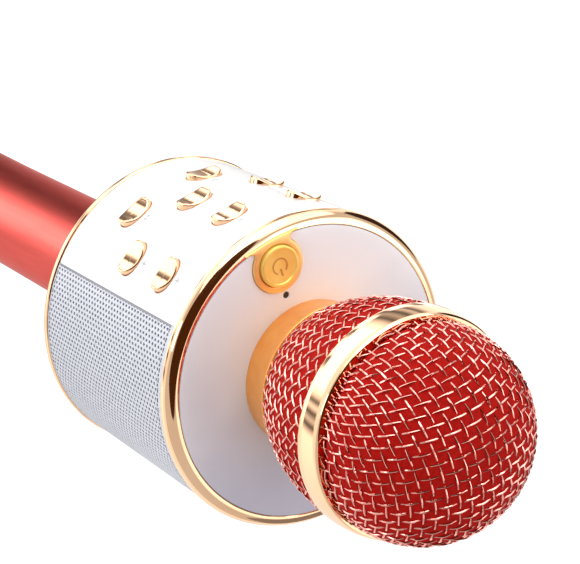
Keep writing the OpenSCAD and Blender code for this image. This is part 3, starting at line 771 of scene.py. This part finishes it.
edge = 2.868            # length of wire between two crossings of the weave
wave = 0.27             # height of a wire's crest over the weave's middle
wire_r = 0.25
samples = 6             # points along a wire between two crossings
sides = 8               # sides of a wire's section


def tube(path, normals):
    """Round wire along a path, as numpy points and faces; normals point out of the weave."""
    tangent = np.gradient(path, axis=0)
    tangent /= np.linalg.norm(tangent, axis=1)[:, None]
    side = np.cross(tangent, normals)
    side /= np.linalg.norm(side, axis=1)[:, None]
    up = np.cross(side, tangent)
    turn = 2 * math.pi * np.arange(sides) / sides
    ring = wire_r * (np.cos(turn)[None, :, None] * up[:, None] + np.sin(turn)[None, :, None] * side[:, None])
    points = (path[:, None] + ring).reshape(-1, 3)
    count = len(path)
    here = np.arange(count - 1)[:, None] * sides + np.arange(sides)
    beside = np.arange(count - 1)[:, None] * sides + (np.arange(sides) + 1) % sides
    walls = np.stack([here, here + sides, beside + sides, beside], -1).reshape(-1, 4).tolist()
    last = (count - 1) * sides
    walls.append(list(range(sides)))
    walls.append([last + k for k in range(sides - 1, -1, -1)])
    return points, walls


def weave(name, wires, nodes):
    """One piece from all wires of a woven grille."""
    points = []
    faces = []
    base = 0
    for path, normals in wires:
        tube_points, tube_faces = tube(path, normals)
        points.append(tube_points)
        faces.extend([[base + i for i in face] for face in tube_faces])
        base += len(tube_points)
    add_piece(name, np.concatenate(points), faces, HEAD, pink_wire, "red_mesh", nodes, tidy=False)


def end_wire(run, wires):
    """Keeps a run of (point, normal) as a wire if it is long enough, and gives an empty run."""
    if len(run) > 3:
        wires.append((np.array([p for p, n in run]), np.array([n for p, n in run])))
    return []


def dome_net(step, reach):
    """Crossings of a cloth of equal squares laid on a unit sphere from its pole: each next one
    is the mirror image of the one behind it in the plane through its two neighbours."""
    too_close = 0.02
    hem_z = -0.3
    crossings = {(0, 0): np.array([0.0, 0.0, 1.0])}
    heading = math.radians(-3.07)
    first = np.array([math.cos(heading), math.sin(heading), 0.0])
    second = np.array([-first[1], first[0], 0.0])
    for k in range(-reach, reach + 1):
        up = np.array([0.0, 0.0, math.cos(k * step)])
        crossings[(k, 0)] = up + math.sin(k * step) * first
        crossings[(0, k)] = up + math.sin(k * step) * second
    for si in (1, -1):
        for sj in (1, -1):
            for i in range(1, reach + 1):
                for j in range(1, reach + 1):
                    before = crossings.get((si * i, sj * (j - 1)))
                    beside = crossings.get((si * (i - 1), sj * j))
                    behind = crossings.get((si * (i - 1), sj * (j - 1)))
                    if before is None or beside is None or behind is None:
                        continue
                    normal = np.cross(before, beside)
                    size = np.linalg.norm(normal)
                    if size < too_close:
                        continue
                    normal /= size
                    ahead = behind - 2 * np.dot(behind, normal) * normal
                    if ahead[2] > hem_z:
                        crossings[(si * i, sj * j)] = ahead
    return crossings


def make_dome():
    """Woven front dome. One family of wires passes over where the other passes under."""
    reach = 22              # crossings from the pole to the edge of the cloth
    middle_r = dome_r - wave - wire_r
    centre = np.array([0, 0, dome_z])
    crossings = dome_net(edge / dome_r, reach)
    cut_z = band_hi_z - 0.5
    wires = []
    for over in (1, -1):
        for row in range(-reach, reach + 1):
            run = []
            for k in range(-reach, reach):
                a = crossings.get((k, row) if over == 1 else (row, k))
                b = crossings.get((k + 1, row) if over == 1 else (row, k + 1))
                if a is None or b is None:
                    run = end_wire(run, wires)
                    continue
                for m in range(samples):
                    t = m / samples
                    normal = a * (1 - t) + b * t
                    normal /= np.linalg.norm(normal)
                    height = over * wave * math.cos(math.pi * (k + row + t))
                    point = normal * (middle_r + height) + centre
                    if point[2] > cut_z:
                        run.append((point, normal))
                    else:
                        run = end_wire(run, wires)
            end_wire(run, wires)
    weave("dome_weave", wires, ["front_mesh"])


def rear_r(z):
    """Outer radius of the rear mesh at a height."""
    foot_r = 20.9
    widening = 6.8
    bulge = 7.2
    s = (z - mesh_lo_z) / (band_lo_z - mesh_lo_z)
    return foot_r + widening * s + bulge * s * (1 - s)


def make_rear_weave():
    """Woven rear mesh: two families of helical wires with the same length between crossings."""
    columns = 78
    start_z = mesh_lo_z + 0.3
    end_z = band_lo_z + 0.35
    levels = [start_z]
    while levels[-1] < end_z:
        z = levels[-1]
        r = rear_r(min(z, band_lo_z)) - wave - wire_r
        slope = (rear_r(z + 0.1) - rear_r(z)) / 0.1
        around = 2 * math.pi * r / columns
        levels.append(z + math.sqrt(edge ** 2 - around ** 2) / math.hypot(1, slope))
    rows_up = len(levels) - 1
    rise = np.array(levels)
    wires = []
    for hand in (1, -1):
        for start in range(0, columns, 2):
            run = []
            for k in range(rows_up * samples + 1):
                m = k / samples
                z = float(np.interp(m, np.arange(rows_up + 1), rise))
                if z > end_z:
                    break
                a = 2 * math.pi * (start + hand * m) / columns
                slope = (rear_r(z + 0.1) - rear_r(z)) / 0.1
                normal = np.array([math.cos(a), math.sin(a), -slope]) / math.hypot(1, slope)
                middle = rear_r(z) - wave - wire_r
                point = np.array([middle * math.cos(a), middle * math.sin(a), z])
                run.append((point + normal * hand * wave * math.cos(math.pi * m), normal))
            end_wire(run, wires)
    weave("rear_weave", wires, ["rear_mesh"])


def make_band():
    """Polished band between the two grilles, slightly crowned, with a flat front rim."""
    outer_lo = 28.1
    outer_hi = 27.4
    inner_r = 25.2
    round_lo = 0.35
    round_hi = 0.3
    round_share = 0.08      # share of the band's height that a rounded edge takes
    crown = 0.3             # how far the band's middle stands out
    steps = 24
    outline = [(inner_r, band_lo_z), (outer_lo - round_lo, band_lo_z)]
    for k in range(steps + 1):
        t = k / steps
        out = 4 * crown * t * (1 - t)
        near_lo = max(0, 1 - t / round_share)
        near_hi = max(0, (t - (1 - round_share)) / round_share)
        edge_round = round_lo * near_lo ** 2 + round_hi * near_hi ** 2
        outline.append((outer_lo + (outer_hi - outer_lo) * t + out - edge_round,
                        band_lo_z + (band_hi_z - band_lo_z) * t))
    outline.append((inner_r, band_hi_z))
    add_piece("band", *turned(outline, 256), HEAD, gold_chrome, "gold_chrome", ["head_band"])


def make_foam():
    """Red foam liner behind the weave, a soft hollow shell."""
    lo = low("foam_liner", Z)
    sunk = wave + wire_r - 0.06     # only the wires' crests stand out of the foam
    thick = 3.0
    behind_band = 24.9
    from_band = 0.3
    over = 0.05
    reach = dome_r - sunk

    def wall(inset):
        """Outline from the foot to the pole, moved in by a distance."""
        points = []
        for k in range(31):
            z = lo + (band_lo_z - lo) * k / 30
            points.append((rear_r(max(z, mesh_lo_z)) - sunk - inset, z))
        points += [(behind_band - inset, band_lo_z + from_band), (behind_band - inset, band_hi_z - from_band)]
        r = reach - inset
        start = math.degrees(math.asin(max(band_hi_z + over - dome_z, over - inset) / r))
        points += arc((0, dome_z), (r, r), start, 90, 40)
        points[-1] = (0.0, dome_z + r)
        return points

    shell = wall(0.0) + wall(thick)[::-1]
    foam = add_piece("foam_lining", *turned(shell, 220), HEAD, red_foam, "foam", ["foam_liner"])


# ---- carried-over CAD nodes ----

# the rear plate shares the front plate's material, with its painted light and shade
cad_looks = {
    "end_cap": red_cap, "cap_seal": black_rubber, "battery": cell_blue, "battery_sleeve": black_plastic,
    "battery_spring": steel, "top_contact": gold_satin, "ring_nut": steel, "rear_plate": plate_white_painted_light,
    "rear_ring": gold_chrome, "frame_screws": steel, "drum_frame": frame_plastic,
    "speaker_baffle": dark_board, "speaker_basket": steel, "speaker_magnet": ferrite, "speaker_cone": paper,
    "speaker_surround": black_rubber, "speaker_screws": steel, "main_board": circuit_green,
    "board_parts": black_plastic, "charge_socket": steel, "audio_socket": black_plastic,
    "grille_cloth": dark_cloth, "button_board": circuit_green, "key_switches": black_plastic,
    "power_switch": black_plastic, "status_light": black_plastic, "collar_nut": steel,
    "capsule_cradle": frame_plastic, "capsule_ring": black_rubber, "mic_capsule": steel,
    "head_seal": black_rubber, "thread_ring": gold_satin,
}


def dress_cad():
    """Gives every carried-over CAD node its material."""
    for name, material in cad_looks.items():
        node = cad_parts[name]
        for slot in node.material_slots:
            slot.material = material


# ---- studio ----

def studio_object(name, points, faces, material):
    """Plain object of the studio; its points are in metres."""
    mesh = bpy.data.meshes.new(name)
    mesh.from_pydata(points, [], faces)
    mesh.materials.append(material)
    obj = bpy.data.objects.new(name, mesh)
    scene.collection.objects.link(obj)
    return obj


def aim_at_drum(obj, azimuth, elevation, distance, axis):
    """Puts a card or light round the drum, in degrees about +Z from +X and up, with one of its own
    axes towards it."""
    centre = Vector((0, 0, 0.18))
    a = math.radians(azimuth)
    e = math.radians(elevation)
    outwards = Vector((math.cos(a) * math.cos(e), math.sin(a) * math.cos(e), math.sin(e)))
    obj.location = centre + outwards * distance
    obj.rotation_euler = (centre - obj.location).to_track_quat(axis, "Y").to_euler()


def only_reflect(obj):
    """Makes an object of the studio show in reflections only."""
    obj.visible_camera = False
    obj.visible_diffuse = False
    obj.visible_shadow = False
    obj.visible_transmission = False


def glow(name, texture, tones, strength):
    """Material that only glows: a texture picks from the tones, which are (position, colour)."""
    material, tree, shader, place = new_material(name)
    pattern = tree.nodes.new(texture)
    tree.links.new(place.outputs["Object"], pattern.inputs["Vector"])
    ramp = tone_ramp(tree, pattern.outputs["Fac"], tones)
    tree.links.new(ramp.outputs["Color"], shader.inputs["Emission Color"])
    shader.inputs["Emission Strength"].default_value = strength
    shader.inputs["Base Color"].default_value = (0, 0, 0, 1)
    shader.inputs["Specular IOR Level"].default_value = 0
    shader.inputs["Roughness"].default_value = 1
    return material, pattern


def add_card(name, azimuth, elevation, distance, half_angle, tone, strength=1.0):
    """Round card facing the microphone, such as the dark side of a room. Its outline is wavy, so
    that its edge in the chrome is not a perfect circle."""
    dim = tuple(0.85 * c for c in tone[:3]) + (1.0,)
    material, pattern = glow(name, "ShaderNodeTexNoise", [(0.3, dim), (0.7, tone)], strength)
    pattern.inputs["Scale"].default_value = 3
    reach = distance * math.tan(math.radians(half_angle))
    count = 72
    outline = []
    for k in range(count):
        a = 2 * math.pi * k / count
        wavy = 1 + 0.05 * math.sin(3 * a + 1) + 0.03 * math.sin(7 * a)
        outline.append((reach * wavy * math.cos(a), reach * wavy * math.sin(a), 0))
    card = studio_object(name, outline, [list(range(count))], material)
    aim_at_drum(card, azimuth, elevation, distance, "Z")
    only_reflect(card)


def add_floor_glow(name, inner, outer, tones):
    """Ring just over the floor, in metres, with a glow that changes with the direction from the
    microphone. Tones are (degrees about +Z, brightness)."""
    brightest = max(level for angle, level in tones)
    stops = []
    for angle, level in tones:
        share = level / brightest
        stops.append(((angle + 180) / 360, (share, share * 0.97, share * 0.96, 1)))
    material, pattern = glow(name, "ShaderNodeTexGradient", stops, brightest)
    pattern.gradient_type = "RADIAL"
    count = 120
    points = []
    for radius in (inner, outer):
        points += [(x, y, 0.0006) for x, y in circle(0, 0, radius, count)]
    faces = []
    for k in range(count):
        after = (k + 1) % count
        faces.append((k, after, count + after, count + k))
    only_reflect(studio_object(name, points, faces, material))


def add_softbox(name, azimuth, elevation, distance, width, power):
    """Square soft light aimed at the microphone."""
    light = bpy.data.lights.new(name, "AREA")
    light.size = width
    light.energy = power
    lamp = bpy.data.objects.new(name, light)
    aim_at_drum(lamp, azimuth, elevation, distance, "-Z")
    scene.collection.objects.link(lamp)


def make_studio():
    """Pale floor, soft lights, the room that the metal reflects, and the camera."""
    size = 3.0
    corners = [(-size, -size, 0), (size, -size, 0), (size, size, 0), (-size, size, 0)]
    floor = studio_object("floor", corners, [(0, 1, 2, 3)], floor_white)
    world = bpy.data.worlds.new("studio")
    world.use_nodes = True
    background = world.node_tree.nodes["Background"]
    background.inputs["Color"].default_value = (1.0, 0.99, 0.985, 1)
    background.inputs["Strength"].default_value = 0.68
    scene.world = world

    add_softbox("key", -105, 12, 1.0, 0.8, 3.2)
    add_softbox("side", 170, 50, 1.1, 0.7, 2.0)
    add_softbox("low", -35, -2, 1.0, 0.3, 0.8)
    add_card("room_dark", -45, 58, 1.2, 41, colour(74, 44, 22))
    add_card("side_dark", -175, -4, 0.34, 19, colour(60, 50, 46))
    add_card("side_grey", 112, 14, 0.6, 26, colour(150, 146, 146))
    add_card("front_bright", -108, 12, 1.5, 44, colour(255, 252, 250), 2.3)
    add_card("back_bright", 140, 55, 1.5, 30, colour(255, 252, 250), 1.7)
    add_floor_glow("floor_under_grip", 0.012, 0.125, [
        (-180, 0.62), (-164, 0.48), (-142, 0.3), (-124, 0.17), (-106, 0.24), (-92, 0.52), (-78, 1.2),
        (-64, 2.1), (-50, 2.4), (-36, 2.1), (-22, 1.15), (-8, 0.78), (20, 0.78), (42, 0.74), (64, 0.68),
        (100, 0.62), (180, 0.62)
    ])
    add_floor_glow("floor_under_keys", 0.125, 0.22, [
        (-180, 2.4), (-176, 0.15), (-169, 0.4), (-161, 2.4), (-146, 2.4), (-141, 0.12), (-134, 0.5),
        (-127, 2.4), (-111, 2.4), (-106, 0.12), (-99, 0.5), (-92, 2.4), (-77, 2.4), (-72, 0.12), (-65, 0.5),
        (-58, 2.4), (-30, 2.4), (0, 1.3), (90, 1.0), (150, 1.8), (162, 0.3), (170, 1.6), (180, 2.4)
    ])
    add_floor_glow("floor_far", 0.22, 0.42, [
        (-180, 1.5), (-162, 1.3), (-153, 0.1), (-148, 0.9), (-141, 0.1), (-134, 0.6), (-126, 0.12),
        (-119, 1.2), (-106, 2.6), (-46, 2.6), (-37, 1.2), (-33, 0.08), (-28, 1.4), (-23, 0.06), (-17, 0.9),
        (-12, 0.06), (-4, 1.6), (30, 1.3), (90, 1.0), (140, 1.2), (180, 1.5)
    ])

    camera_data = bpy.data.cameras.new("camera")
    camera_data.sensor_width = 36
    camera_data.lens = 190.87
    camera = bpy.data.objects.new("camera", camera_data)
    # it looks from 40 degrees round and 52 degrees up, rolled to one side
    distance = 755.97
    azimuth = math.radians(40.0)
    elevation = math.radians(51.942)
    roll = math.radians(-116.41)
    aim = Vector((-13.191, -11.068, 160.287)) * MM
    back = Vector((math.sin(azimuth) * math.cos(elevation), -math.cos(azimuth) * math.cos(elevation),
                   math.sin(elevation)))
    level_up = (Vector((0, 0, 1)) - back * back.z).normalized()
    level_right = level_up.cross(back)
    up = level_up * math.cos(roll) + level_right * math.sin(roll)
    right = up.cross(back)
    rotation = Matrix((right, up, back)).transposed().to_4x4()
    camera.matrix_world = Matrix.Translation(aim + back * distance * MM) @ rotation
    scene.collection.objects.link(camera)
    scene.camera = camera
    scene.view_settings.view_transform = "Standard"


make_studio()
make_grip()
make_panel()
make_buttons()
make_print()
make_grille()
make_bezel()
make_lug()
make_plate()
make_power_button()
make_power_sign()
make_collar()
make_dome()
make_rear_weave()
make_band()
make_foam()
dress_cad()
